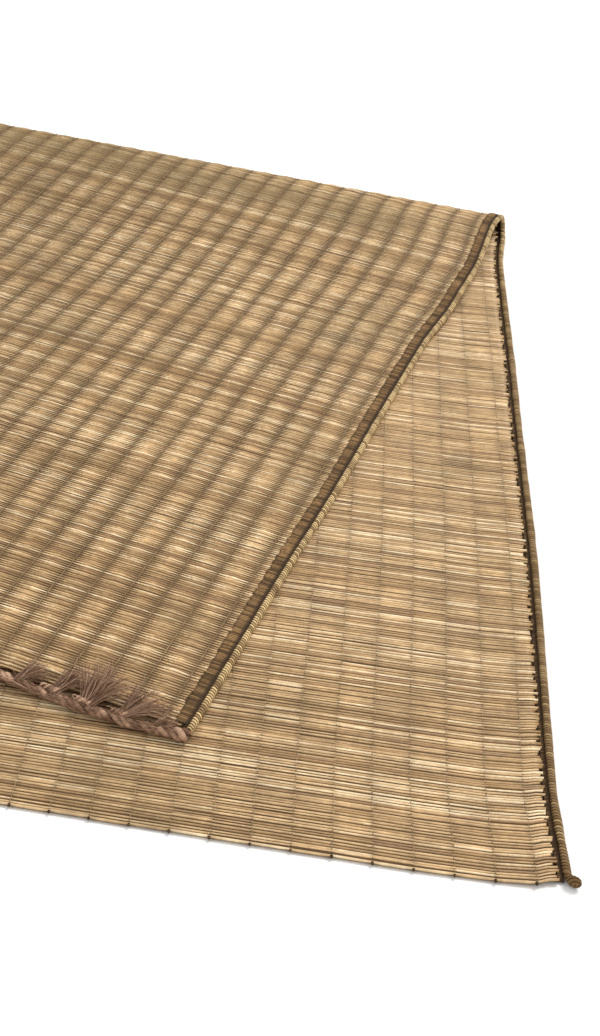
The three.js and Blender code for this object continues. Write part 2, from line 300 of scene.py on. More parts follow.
def build(name, points, faces, uv, values, material, round_v=False):
    """A mesh object at the origin from points in mm, arrays of faces of any side count, and
    values held at its points. Faces are turned round where the enclosed volume is negative.
    With round_v the second coordinate runs once round a tube and goes on over its seam."""
    p = points.reshape(-1, 3).astype(np.float64).copy()
    p[:, 0] -= CENTRE[0]
    p[:, 1] -= CENTRE[1]
    keep_above(p, FLOOR_CLEAR)
    p /= MM
    volume = 0.0
    for f in faces:
        for k in range(1, f.shape[1] - 1):
            a, b, c = p[f[:, 0]], p[f[:, k]], p[f[:, k + 1]]
            volume += np.einsum("ij,ij->i", a, np.cross(b, c)).sum()
    if volume < 0:
        faces = [f[:, ::-1] for f in faces]
    loops = np.concatenate([f.reshape(-1) for f in faces]).astype(np.int32)
    sides = np.concatenate([np.full(len(f), f.shape[1]) for f in faces]).astype(np.int32)
    starts = np.concatenate([[0], np.cumsum(sides)[:-1]]).astype(np.int32)
    mesh = bpy.data.meshes.new(name)
    mesh.vertices.add(len(p))
    mesh.vertices.foreach_set("co", p.astype(np.float32).reshape(-1))
    mesh.loops.add(len(loops))
    mesh.loops.foreach_set("vertex_index", loops)
    mesh.polygons.add(len(sides))
    mesh.polygons.foreach_set("loop_start", starts)
    mesh.polygons.foreach_set("use_smooth", np.ones(len(sides), bool))
    mesh.update(calc_edges=True)
    flat = uv.reshape(-1, 2)[loops]
    if round_v:
        quads = flat[:4 * len(faces[0])].reshape(-1, 4, 2)
        over = np.ptp(quads[..., 1], axis=1) > 0.5
        quads[..., 1] += over[:, None] & (quads[..., 1] < 0.5)
    mesh.uv_layers.new(name="weave").data.foreach_set("uv", flat.astype(np.float32).reshape(-1))
    for key, v in values.items():
        layer = mesh.attributes.new(key, "FLOAT", "POINT")
        layer.data.foreach_set("value", v.reshape(-1).astype(np.float32))
    if mesh.validate():
        raise RuntimeError(f"{name}: the mesh had faces that do not hold")
    piece = bpy.data.objects.new(name, mesh)
    bpy.context.scene.collection.objects.link(piece)
    mesh.materials.append(material)
    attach(piece, "root")
    return piece


# Materials


def shaded(colour, factor):
    """A colour made darker or lighter."""
    return tuple(factor * x for x in colour)


class Shader:
    """A short way to place and join the nodes of a material or a node group."""

    def __init__(self, tree):
        self.tree = tree

    def add(self, kind, **settings):
        """A new node, its settings and then its inputs given."""
        node = self.tree.nodes.new(kind)
        inputs = settings.pop("inputs", {})
        for key, value in settings.items():
            setattr(node, key, value)
        for key, value in inputs.items():
            self.feed(node.inputs[key], value)
        return node

    def feed(self, socket, value):
        """Joins another node's output to the socket, or sets it to a number or a colour."""
        if isinstance(value, bpy.types.NodeSocket):
            self.tree.links.new(value, socket)
        elif socket.type == "RGBA":
            socket.default_value = (*value[:3], 1.0)
        else:
            socket.default_value = value

    def math(self, operation, a, b=0.0):
        node = self.add("ShaderNodeMath", operation=operation)
        self.feed(node.inputs[0], a)
        self.feed(node.inputs[1], b)
        return node.outputs[0]

    def times(self, a, b):
        return self.math("MULTIPLY", a, b)

    def plus(self, a, b):
        return self.math("ADD", a, b)

    def minus(self, a, b):
        return self.math("SUBTRACT", a, b)

    def ramp(self, value, low, high, to_low=0.0, to_high=1.0):
        """A smooth step of the value from low to high, given as to_low to to_high."""
        node = self.add("ShaderNodeMapRange", interpolation_type="SMOOTHSTEP")
        for socket, v in zip(node.inputs, (value, low, high, to_low, to_high)):
            self.feed(socket, v)
        return node.outputs[0]

    def mix(self, factor, a, b, blend="MIX"):
        node = self.add("ShaderNodeMix", data_type="RGBA", blend_type=blend)
        for index, value in ((0, factor), (6, a), (7, b)):
            self.feed(node.inputs[index], value)
        return node.outputs[2]

    def scale(self, colour, value):
        """A colour times a number."""
        grey = self.add("ShaderNodeCombineColor", inputs={"Red": value, "Green": value, "Blue": value})
        return self.mix(1.0, colour, grey.outputs[0], "MULTIPLY")

    def vector(self, x, y, z=0.0):
        return self.add("ShaderNodeCombineXYZ", inputs={"X": x, "Y": y, "Z": z}).outputs[0]

    def noise(self, vector, scale=1.0, detail=2.0, rough=0.5):
        node = self.add("ShaderNodeTexNoise", inputs={
            "Vector": vector, "Scale": scale, "Detail": detail, "Roughness": rough})
        return node.outputs["Fac"]

    def value(self, name):
        """A value that the mesh holds at its points."""
        return self.add("ShaderNodeAttribute", attribute_name=name).outputs["Fac"]

    def uv(self):
        """The two coordinates of the piece's own map, in metres."""
        weave = self.add("ShaderNodeUVMap", uv_map="weave").outputs[0]
        split = self.add("ShaderNodeSeparateXYZ", inputs={"Vector": weave})
        return split.outputs[0], split.outputs[1]

    def use(self, name, make, inputs):
        """The outputs of the named node group, which is made once and placed here."""
        tree = bpy.data.node_groups.get(name) or make(name)
        return self.add("ShaderNodeGroup", node_tree=tree, inputs=inputs).outputs


def new_group(name, inputs, outputs):
    """An empty node group of numbers: inputs by name with their defaults, and outputs."""
    tree = bpy.data.node_groups.new(name, "ShaderNodeTree")
    for key, default in inputs.items():
        socket = tree.interface.new_socket(key, in_out="INPUT", socket_type="NodeSocketFloat")
        socket.default_value = default
    for key in outputs:
        tree.interface.new_socket(key, in_out="OUTPUT", socket_type="NodeSocketFloat")
    shader = Shader(tree)
    return shader, shader.add("NodeGroupInput").outputs, shader.add("NodeGroupOutput").inputs


def fibre_group(name):
    """Long streaks and fine grain of dry plant fibre: noise stretched along the fibre, its
    third coordinate set apart for each stem so that neighbours differ."""
    g, given, out = new_group(
        name, {"Along": 0.0, "Across": 0.0, "Stem": 0.0, "Streak length": 30.0, "Grain": 2600.0},
        ("Streak", "Grain"))
    far = g.times(given["Along"], given["Streak length"])
    apart = g.times(given["Stem"], 61.0)
    wide = g.times(given["Across"], given["Grain"])
    streak = g.noise(g.vector(far, apart, g.times(given["Across"], 8.0)), 1.0, 3.0, 0.6)
    g.feed(out["Streak"], streak)
    g.feed(out["Grain"], g.noise(g.vector(g.times(far, 5.0), wide, apart), 1.0, 2.0, 0.6))
    return g.tree


def stain_group(name):
    """Broad soft stains: two noises of different size, the wide one cut to patches."""
    g, given, out = new_group(name, {"Across": 0.0, "Along": 0.0, "Size": 7.0}, ("Patch", "Cloud"))
    at = g.vector(given["Across"], given["Along"])
    wide = g.noise(at, given["Size"], 3.0, 0.6)
    g.feed(out["Patch"], g.ramp(wide, 0.5, 0.68))
    g.feed(out["Cloud"], g.noise(at, g.times(given["Size"], 4.3), 3.0, 0.6))
    return g.tree


def turns_group(name):
    """Turns of a wrapping or stitches in a row, from a phase that grows by one a turn: the
    dark line of painted shade between turns, each turn's own tone, and its rounded height."""
    g, given, out = new_group(name, {"Phase": 0.0}, ("Line", "Tone", "Height"))
    height = g.times(g.math("PINGPONG", given["Phase"], 0.5), 2.0)
    turn = g.math("FLOOR", given["Phase"])
    own = g.add("ShaderNodeTexWhiteNoise", noise_dimensions="1D", inputs={"W": turn})
    g.feed(out["Line"], g.ramp(height, 0.55, 0.1))
    g.feed(out["Tone"], own.outputs["Value"])
    g.feed(out["Height"], g.ramp(height, 0.0, 0.8))
    return g.tree


def start_material(name):
    """A new material, the Shader of its nodes and the inputs of its surface."""
    material = bpy.data.materials.new(name)
    material.use_nodes = True
    tree = material.node_tree
    return material, Shader(tree), tree.nodes["Principled BSDF"].inputs


def end_material(g, surface, colour, rough, gloss, bump=None):
    """Gives the surface its colour, roughness and gloss, and a bump of the given strength,
    depth in metres and height."""
    g.feed(surface["Base Color"], colour)
    g.feed(surface["Roughness"], rough)
    g.feed(surface["Specular IOR Level"], gloss)
    if bump:
        strength, depth, height = bump
        node = g.add("ShaderNodeBump", inputs={"Strength": strength, "Distance": depth, "Height": height})
        g.feed(surface["Normal"], node.outputs[0])


def straw_material(name, colours):
    """Dry grass stems: each its own tone with streaks, some paler, partly as a painted highlight;
    painted shade in the grooves between stems, in a soft band at every warp and in a band
    below the fold's rim; darker toward the left; under broad olive and brown stains."""
    material, g, surface = start_material(name)
    u, v = g.uv()
    tone = g.value("tone")
    fibre = g.use("plant_fibre", fibre_group, {
        "Along": u, "Across": v, "Stem": tone, "Streak length": 34.0})
    stain_and_shade = g.use("soft_stain", stain_group, {"Across": u, "Along": v, "Size": 6.0})
    streak, grain = fibre["Streak"], fibre["Grain"]
    shade = g.ramp(g.plus(g.times(streak, 0.7), g.times(tone, 0.5)), 0.34, 0.86)
    colour = g.mix(shade, colours.stem_dark, colours.stem_light)
    # A few paler stems, partly their own pale colour and partly a painted highlight
    pale_and_glint = g.ramp(g.plus(tone, g.times(streak, 0.6)), 1.08, 1.34)
    colour = g.mix(g.times(pale_and_glint, 0.75), colour, colours.stem_pale_and_glint)
    colour = g.mix(g.times(g.ramp(tone, 0.16, 0.02), 0.6), colour, colours.stem_brown)
    colour = g.mix(g.times(stain_and_shade["Patch"], 0.36), colour, colours.stain_and_shade)
    # Darker toward the left of the mat and lighter near the right edge
    darker_to_left = g.ramp(u, 0.1, 0.5, 1.08, 0.88)
    colour = g.scale(colour, g.times(g.ramp(stain_and_shade["Cloud"], 0.3, 0.7, 0.82, 1.1), darker_to_left))
    # Painted shade: a soft dark band along every warp where the stems pinch in, ragged at its edges
    warp = g.math("DIVIDE", g.minus(g.times(u, MM), FIRST_WARP), WARP_PITCH)
    from_warp = g.times(g.math("PINGPONG", warp, 0.5), WARP_PITCH)
    ragged = g.times(g.minus(streak, 0.5), 5.0)
    near = g.times(g.ramp(g.plus(from_warp, ragged), 6.0, 0.5), g.value("band"))
    warp_shade = g.times(near, 0.36)
    colour = g.mix(warp_shade, colour, colours.trough)
    # Painted shade in a band below the fold's rim, in the colour of the olive stains
    colour = g.mix(g.value("shade"), colour, colours.stain_and_shade)
    # Painted shade between the stems, its grooves widened along the warps
    start = g.minus(0.68, warp_shade)
    dark = g.ramp(g.value("groove_shade"), start, g.plus(start, 0.3), 0.0, 0.86)
    colour = g.mix(dark, colour, colours.gap)
    colour = g.scale(colour, g.ramp(grain, 0.3, 0.75, 0.84, 1.08))
    rough = g.ramp(streak, 0.2, 0.8, 0.36, 0.56)
    end_material(g, surface, colour, rough, 0.4, (0.35, 0.0004, grain))
    return material


def plant_material(name, dark, light, lengthways, streak, rough):
    """Fibre cords and threads: streaks between a dark and a light tone, with painted shade in grooves."""
    material, g, surface = start_material(name)
    u, v = g.uv()
    along, across = (u, v) if lengthways == "u" else (v, u)
    tone = g.value("tone")
    fibre = g.use("plant_fibre", fibre_group, {
        "Along": along, "Across": across, "Stem": tone, "Streak length": streak, "Grain": 900.0})
    shade = g.plus(g.times(fibre["Streak"], 0.6), g.times(tone, 0.5))
    colour = g.mix(g.ramp(shade, 0.3, 0.85), dark, light)
    # Painted shade in the grooves
    groove_shade = g.ramp(g.value("groove_shade"), 0.3, 1.0)
    colour = g.mix(g.times(groove_shade, 0.75), colour, shaded(dark, 0.25))
    end_material(g, surface, colour, rough, 0.3, (0.5, 0.0004, fibre["Grain"]))
    return material


def turned_material(name, dark, light, pitch, slant, rough, line, roughen):
    """Straw wound round a cord or stitched over an edge: each turn of its own tone, fine
    streaks along it, and a dark line of painted shade where it meets the next."""
    material, g, surface = start_material(name)
    u, v = g.uv()
    worn = g.noise(g.vector(g.times(u, 260.0), g.times(v, 260.0)), 1.0, 3.0, 0.6)
    stray = g.minus(worn, 0.5)
    along, across = (u, v) if slant else (v, u)
    phase = g.minus(g.math("DIVIDE", along, pitch), g.times(across, slant))
    phase = g.plus(phase, g.times(stray, roughen))
    turn = g.use("wrapping_turns", turns_group, {"Phase": phase})
    streak = g.noise(g.vector(g.times(along, 2600.0), g.times(across, 90.0)), 1.0, 2.0)
    shade = g.plus(g.times(turn["Tone"], 0.55), g.times(streak, 0.5))
    shade = g.times(g.plus(shade, g.times(stray, 0.5)), g.value("tone"))
    colour = g.mix(g.ramp(shade, 0.12, 0.85), dark, light)
    # Painted shade in the groove between turns, and on the band where it goes in under the cord
    mark = g.math("MAXIMUM", g.times(turn["Line"], line), g.value("groove_shade"))
    colour = g.mix(mark, colour, (0.42 * dark[0], 0.33 * dark[1], 0.3 * dark[2]))
    end_material(g, surface, colour, rough, 0.18, (0.9, 0.0006, turn["Height"]))
    return material


def plain_material(name, colour, rough):
    """One colour under a faint cloud of noise."""
    material, g, surface = start_material(name)
    at = g.add("ShaderNodeTexCoord").outputs["Object"]
    cloud = g.ramp(g.noise(at, 5.0, 3.0), 0.2, 0.8, 0.985, 1.0)
    end_material(g, surface, g.scale(colour, cloud), rough, 0.2)
    return material


def finish_for(name):
    """The named finish, made once from the scene's colours and sizes."""
    c = bpy.context.scene.grass_mat_colours
    sizes = bpy.context.scene.grass_mat_sizes
    makers = {
        "dry_grass_stems": lambda: straw_material(name, c),
        # A dark sheet of painted shade, seen through the gaps between the stems
        "gap_shade_sheet": lambda: plant_material(name, shaded(c.gap, 0.5), c.trough, "u", 30.0, 0.9),
        "warp_thread": lambda: plant_material(name, shaded(c.thread, 0.55), c.thread, "v", 60.0, 0.7),
        "bast_fibre": lambda: plant_material(name, c.bast_dark, c.bast_light, "v", 120.0, 0.8),
        "wrapped_straw": lambda: turned_material(
            name, c.wrap_dark, c.wrap_light, sizes.wrap_pitch, 2.0, 0.5, 1.0, 0.35),
        "stitched_fibre": lambda: turned_material(
            name, shaded(c.band, 0.35), shaded(c.band, 1.8), sizes.stitch_pitch, 0.0, 0.75, 0.85, 1.0),
    }
    return bpy.data.materials.get(name) or makers[name]()


# Settings


def colour_property(name, default, description):
    return FloatVectorProperty(name=name, description=description, subtype="COLOR", size=3,
                               min=0.0, max=1.0, default=default)


def length_property(name, default, low, high, description):
    return FloatProperty(name=name, description=description, default=default, min=low, max=high,
                         subtype="DISTANCE", unit="LENGTH")


class GRASSMAT_PG_sizes(bpy.types.PropertyGroup):
    """Sizes of the mat's fine pieces."""

    stem_pitch: length_property("Stem pitch", 0.00265, 0.0015, 0.006, "Spacing of the grass stems")
    stem_radius: length_property("Stem radius", 0.00137, 0.0006, 0.003, "Radius of a stem between warps")
    thread_radius: length_property("Thread radius", 0.0004, 0.0002, 0.001, "Radius of the warp threads")
    wrap_pitch: length_property("Wrap pitch", 0.0027, 0.0015, 0.008, "Spacing of the side cords' turns")
    stitch_pitch: length_property("Stitch pitch", 0.0018, 0.001, 0.006, "Spacing of the bands' stitches")
    braid_pitch: length_property("Twist pitch", 0.019, 0.01, 0.04, "Length of one turn of the end cord")
    tuft_fibres: IntProperty(name="Tuft fibres", description="Fibres in each lock of a tuft",
                             default=22, min=4, max=30)


class GRASSMAT_PG_colours(bpy.types.PropertyGroup):
    """Colours of the mat's materials."""

    stem_light: colour_property("Stem light", (0.74, 0.51, 0.265), "Light part of a stem")
    stem_dark: colour_property("Stem dark", (0.42, 0.255, 0.108), "Dark part of a stem")
    # Paler stems, partly a painted highlight
    stem_pale_and_glint: colour_property("Stem highlight", (1.0, 0.82, 0.54), "Palest stems")
    stem_brown: colour_property("Stem brown", (0.33, 0.19, 0.10), "Brown and reddish stems")
    # The colour of the olive stains, also used for the painted shade below the fold's rim
    stain_and_shade: colour_property("Stain", (0.30, 0.21, 0.09), "Olive stains")
    trough: colour_property("Trough", (0.16, 0.09, 0.035), "Shade along a warp")
    gap: colour_property("Gap", (0.10, 0.055, 0.02), "Shade between stems")
    thread: colour_property("Thread", (0.40, 0.27, 0.13), "Warp thread")
    wrap_light: colour_property("Wrap light", (0.86, 0.62, 0.30), "Light turns of the side cords")
    wrap_dark: colour_property("Wrap dark", (0.20, 0.115, 0.042), "Dark turns of the side cords")
    band: colour_property("Band", (0.20, 0.115, 0.048), "Stitched side band")
    bast_light: colour_property("Bast light", (0.60, 0.385, 0.255), "Light bast fibre")
    bast_dark: colour_property("Bast dark", (0.15, 0.075, 0.04), "Dark bast fibre")
    floor: colour_property("Floor", (0.90, 0.90, 0.90), "Floor")


# The stems and the dark sheet of painted shade between them

# The dark sheet of painted shade between the stems: half its thickness, how far inside the
# sheet's sides and ends it stays, and its rows as first and last share of the length and their number
GAP_SHADE_HALF = 0.45
GAP_SHADE_SIDE_IN = 0.8
GAP_SHADE_END_IN = 1.5
GAP_SHADE_ROWS = ((0, 0.42, 40), (0.425, 0.66, 110), (0.67, 1, 45))

# The stems' pieces: name, first and last length, seed, stepped or not and the loose last ones
STEM_PIECES = (
    ("stems_lower_end", 0.0, 477.0, 11, True, 0),
    ("stems_lower", 477.0, 954.0, 12, True, 0),
    ("stems_upper", 954.0, 1431.0, 13, False, 0),
    ("stems_upper_end", 1431.0, LENGTH, 14, False, 5),
)
STEM_SIDES = 4
STEM_BENDS = 6
STEM_TALLEST = 1.42

# How far the cut ends stray, where the last stretches start, and half a stepped stem's step
STEM_STRAY = 1.9
STEM_END = 5.0
STEP_HALF = 1.3

# How far the last loose stem is from the end, and their spacing in stem pitches
LOOSE_END = 1.2
LOOSE_SPACING = 1.35


def stem_columns(stepped=False):
    """Widths of the stations along a stem: the edges, then every warp and half way between,
    or for a stepped stem just before and just after every warp."""
    near = (WARP_LINES, WARP_LINES[:-1] + WARP_PITCH / 2)
    if stepped:
        near = (WARP_LINES - STEP_HALF, WARP_LINES + STEP_HALF)
    return np.concatenate([[0.0, STEM_END], np.sort(np.concatenate(near)), [WIDTH - STEM_END, WIDTH]])


def stem_lines(first, last, pitch, stepped, loose, rng):
    """Where stems run: even rows, each bent by slow sine waves and set over by its own amount
    between each two warps, the loose ones wider apart. Gives the width and length of every
    station, how pinched it is and which stretch between warps it is in."""
    w = stem_columns(stepped)
    count, m = int(round((last - first) / pitch)), len(w)
    base = first + (np.arange(count) + 0.5) * pitch
    base[count - loose:] = last - LOOSE_END - (loose - 1 - np.arange(loose)) * pitch * LOOSE_SPACING
    at = np.repeat(w[None], count, 0)
    at[:, 0] = rng.uniform(-STEM_STRAY, STEM_STRAY, count)
    at[:, -1] = WIDTH - rng.uniform(-STEM_STRAY, STEM_STRAY, count)
    panel = np.clip(np.floor((w - FIRST_WARP) / WARP_PITCH).astype(int) + 1, 0, WARPS)
    pinch = 0.5 + 0.5 * np.cos(2 * math.pi * (w - FIRST_WARP) / WARP_PITCH)
    pinch[[0, 1, -2, -1]] = 0.25
    if stepped:
        pinch = np.zeros(m)
    bow = rng.normal(0, 0.16, (count, STEM_BENDS))
    phase = np.linspace(0, 1, m)[None]
    wander = np.zeros((count, m))
    for k in range(STEM_BENDS):
        one = bow[:, k:k + 1]
        wander = wander + one * np.sin((k + 1.5) * math.pi * phase + 20 * one)
    s = base[:, None] + wander * (1 - 0.6 * pinch)
    s = s + rng.normal(0, 0.13, (count, WARPS + 1))[:, panel] * (1 - pinch)
    if loose:
        free = np.zeros(count)
        free[count - loose:] = np.linspace(0.3, 1.0, loose)
        s = s + free[:, None] * rng.normal(0, 0.5, (count, m)) * (1 - pinch)
    s = np.clip(s, 0.4, LENGTH - 1.0)
    if first < 1:
        s = s + end_at(at) * np.clip(1 - s / 300.0, 0, 1)
    return at, s, pinch, panel


def stem_tones(count, panel, loose, rng):
    """Each stem's own tone, a little different in every stretch between warps and much
    lighter in a few, and folded back into its range."""
    part = rng.normal(0, 0.09, (count, WARPS + 1))
    part += (rng.random(part.shape) < 0.04) * rng.uniform(0.2, 0.5, part.shape)
    tone = rng.random(count)[:, None] + part[:, panel]
    tone[count - loose:] += 0.35
    tone = np.abs(tone)
    return np.where(tone > 1, np.maximum(2 - tone, 0.6), tone)


def stem_piece(name, first, last, seed, stepped, loose, sizes, material):
    """Stems as closed tubes across the sheet, ends cut unevenly: pinched at the warps on the
    upper layer, and on the lower one set over a little from each warp to the next."""
    rng = np.random.default_rng(seed)
    at, s, pinch, panel = stem_lines(first, last, sizes.stem_pitch * MM, stepped, loose, rng)
    count, m = at.shape
    stretches = (count, WARPS + 1)
    thick = sizes.stem_radius * MM * rng.normal(1.0, 0.08, (count, 1)).clip(0.8, 1.16)
    r = thick * (1 - 0.3 * pinch) * rng.normal(1.0, 0.05, stretches)[:, panel]
    arc = arc_at(at, s)
    upper = 0.5 * (0.5 - pinch) + rng.normal(0, 0.12, (count, m)) * (1 - pinch)
    lift = np.where(arc < 0, rng.normal(0, 0.1, stretches)[:, panel], upper)
    lift = lift * smooth(0, 30, np.abs(arc))
    _, along, out = axes(at, s)
    centre = middle(at, s) + out * lift[..., None]
    points, faces = tubes(centre, along, out, r * 1.02, np.minimum(r, STEM_TALLEST), STEM_SIDES)
    tone = stem_tones(count, panel, loose, rng)
    # How strong the painted shade along the warps is: stronger on the upper layer toward the right edge
    band = np.where(arc > 0, 0.5 + 0.4 * smooth(420, 60, at), 0.44)
    # Painted shade in a soft band below the fold's rim, where the upper layer turns away from the light
    fold_shade = 0.6 * np.exp(-((arc - 126 + 0.06 * at) / 42.0) ** 2) * smooth(20, 110, at)
    values = {key: ringed(v, STEM_SIDES) for key, v in (("tone", tone), ("band", band), ("shade", fold_shade))}
    # Painted shade on each stem's sides, where it meets its neighbours
    values["groove_shade"] = np.broadcast_to(np.array([1.0, 0.0, 1.0, 0.0]), (count, m, STEM_SIDES))
    return build(name, points, faces, ring_uv(at, s, STEM_SIDES), values, material)


def gap_shade_piece(material):
    """A thin dark sheet between the stems, painted shade that shows through the gaps: a closed
    sheet half its thickness to either side of the middle surface, its two faces joined round the rim."""
    w = stem_columns()
    w[0], w[-1] = GAP_SHADE_SIDE_IN, WIDTH - GAP_SHADE_SIDE_IN
    share = np.concatenate([np.linspace(*rows) for rows in GAP_SHADE_ROWS])
    first = end_at(w)[None] + GAP_SHADE_END_IN
    s = first + (LENGTH - GAP_SHADE_END_IN - first) * share[:, None]
    _, _, out = axes(w[None], s)
    mid = middle(w[None], s)
    ring, faces = shell(mid + out * GAP_SHADE_HALF, mid - out * GAP_SHADE_HALF)
    flat = np.stack([np.broadcast_to(w[None], s.shape), s], -1) / MM
    uv = np.concatenate([flat, flat[:, ::-1]], 1)
    return build("mat_gap_shade", ring, faces, uv, plain(np.full(ring.shape[:2], 0.5)), material)


# The warp threads

THREAD_SIDES = 3

# The two faces' threads: name, first and last length, highest and lowest over the middle,
# which side of it, and seed
THREAD_PIECES = (
    ("threads_outer", 905.0, LENGTH - 1.5, 1.1, 0.6, 1, 21),
    ("threads_inner", 1.0, 1070.0, 1.3, 0.5, -1, 22),
)


def thread_piece(name, first, last, high, low, face, seed, sizes, material):
    """Warp threads as tubes along the sheet, their height over the middle going between
    high and low from one stem to the next."""
    rng = np.random.default_rng(seed)
    step, radius = sizes.stem_pitch * MM, sizes.thread_radius * MM
    count = int((last - first) / step)
    s = np.repeat((first + (np.arange(count) + 0.5) * step)[None], WARPS, 0)
    w = WARP_LINES[:, None] + rng.normal(0, 0.12, (WARPS, count))
    turn = (np.arange(count)[None] + np.arange(WARPS)[:, None]) % 2
    h = np.where(turn == 0, high, low) + rng.normal(0, 0.05, (WARPS, count))
    across, _, out = axes(w, s)
    centre = middle(w, s) + out * (h * face)[..., None]
    points, faces = tubes(centre, across, out, radius, radius * 0.9, THREAD_SIDES, 0.5)
    tone = ringed(rng.random((WARPS, count)), THREAD_SIDES)
    return build(name, points, faces, ring_uv(w, s, THREAD_SIDES), plain(tone), material)


def knot_ticks(material, seed):
    """Small knots of the warp threads at the lower end, each a squashed ball: a tube along
    the sheet whose radius is the root of one less the distance squared."""
    rng = np.random.default_rng(seed)
    stations, sides = 7, 8
    s = end_at(WARP_LINES) + 0.3
    across, along, out = axes(WARP_LINES, s)
    t = np.linspace(-1, 1, stations)
    path = middle(WARP_LINES, s)[:, None] + along[:, None] * (t * 1.9)[None, :, None] - out[:, None] * 0.5
    r = np.sqrt(np.clip(1.03 - t * t, 0.04, 1))[None] * rng.uniform(0.85, 1.15, (WARPS, 1))
    over, up = np.repeat(across[:, None], stations, 1), np.repeat(out[:, None], stations, 1)
    points, faces = tubes(path, over, up, r, r * 0.85, sides)
    keep_above(points, 0.05)
    tone = np.zeros(points.shape[:3]) + rng.random((WARPS, 1, 1))
    uv = np.zeros(points.shape[:3] + (2,)) + t[None, :, None, None] * 0.002
    return build("end_knots", points, faces, uv, plain(tone), material)


# The side cords and bands

CORD_RADIUS = 2.62
CORD_SIDES = 10
CORD_STEP = 0.92
WRAP_RELIEF = 0.28
KNOT_STATIONS = 30
KNOT_RUN = 14

# The band's section: across from the edge, relief, tone, lower toward the cord as painted
# shade, and how much painted shade it gets, most where it goes in under the cord
BAND_SECTION = (
    (-5.0, 0.1, 0.3, 0.75), (-3.8, 0.0, 0.4, 0.65), (-2.6, 0.15, 0.7, 0.35), (-1.2, 0.42, 1.0, 0.0),
    (0.4, 0.5, 1.0, 0.0), (2.0, 0.5, 1.1, 0.0), (3.5, 0.42, 1.0, 0.0), (4.9, 0.12, 0.9, 0.2),
)

# Its height over the middle, top and underside, and on the lower layer by the distance out
BAND_TOP = 1.98
BAND_UNDER = 1.90
BAND_LOWER = ((-4.9, 2.35), (0.0, 2.35), (2.6, 1.5), (5.0, 0.6))


def knot_path(w, outward):
    """The side cord's tail past the lower corner: a line through the rows of LOWER_KNOT."""
    rows = np.array(LOWER_KNOT, float)
    t = np.linspace(0, len(rows) - 1, KNOT_STATIONS)
    along, out, up, radius = (np.interp(t, np.arange(len(rows)), rows[:, k]) for k in range(4))
    start = middle(w, float(end_at(w)))
    path = start[None] + np.stack([out * outward, -along, up], -1)
    keep_above(path, radius + 0.05)
    return path[::-1], radius[::-1]


def cord_piece(name, right, sizes, material, seed):
    """A side cord: a tube beside the sheet's edge with the ridges of its wrapping, radius
    less a cosine of the length over the wrap pitch less the angle, and its end knot."""
    rng = np.random.default_rng(seed)
    w = -CORD_OFFSET if right else WIDTH + CORD_OFFSET
    first = float(end_at(w)) + KNOT_START
    s = np.arange(first, float(braid_at(w)) - CORD_SHORT, CORD_STEP)
    across, _, out = axes(np.full_like(s, w), s)
    tail, tail_radius = knot_path(w, 1 if right else -1)
    n = len(tail)
    path = np.concatenate([tail, middle(np.full_like(s, w), s)])
    across = np.concatenate([np.repeat(across[:1], n, 0), across])
    out = np.concatenate([np.repeat(out[:1], n, 0), out])
    run = np.concatenate([np.linspace(first - KNOT_RUN, first, n, endpoint=False), s])
    a = np.arange(CORD_SIDES) / CORD_SIDES * 2 * math.pi
    lump = drifting(run, (-30, 1960, 14.0), lambda marks: rng.normal(0, 0.14, marks))
    radius = np.concatenate([tail_radius, np.full(len(s), CORD_RADIUS)]) + lump
    phase = run[:, None] / (sizes.wrap_pitch * MM) - a[None] / math.pi
    ring_radius = radius[:, None] - WRAP_RELIEF * np.cos(2 * math.pi * phase)
    ca, sa = np.cos(a)[None, :, None], np.sin(a)[None, :, None]
    points = path[:, None] + (across[:, None] * ca + out[:, None] * sa) * ring_radius[..., None]
    keep_above(points, 0.04)
    faces = grid_faces(len(run), CORD_SIDES, wrap=True)
    caps = np.stack([np.arange(CORD_SIDES)[::-1], np.arange(CORD_SIDES) + (len(run) - 1) * CORD_SIDES])
    light = 0.62 + 0.5 * smooth(FOLD_AT - 150, FOLD_AT, run)
    light = light * (0.35 + 0.65 * smooth(first - 5, first + 25, run))
    tone = light[:, None] + 0 * a[None]
    uv = np.stack(np.broadcast_arrays(run[:, None] / MM, a[None] / (2 * math.pi)), -1)
    return build(name, points, [faces, caps], uv, plain(tone), material, round_v=True)


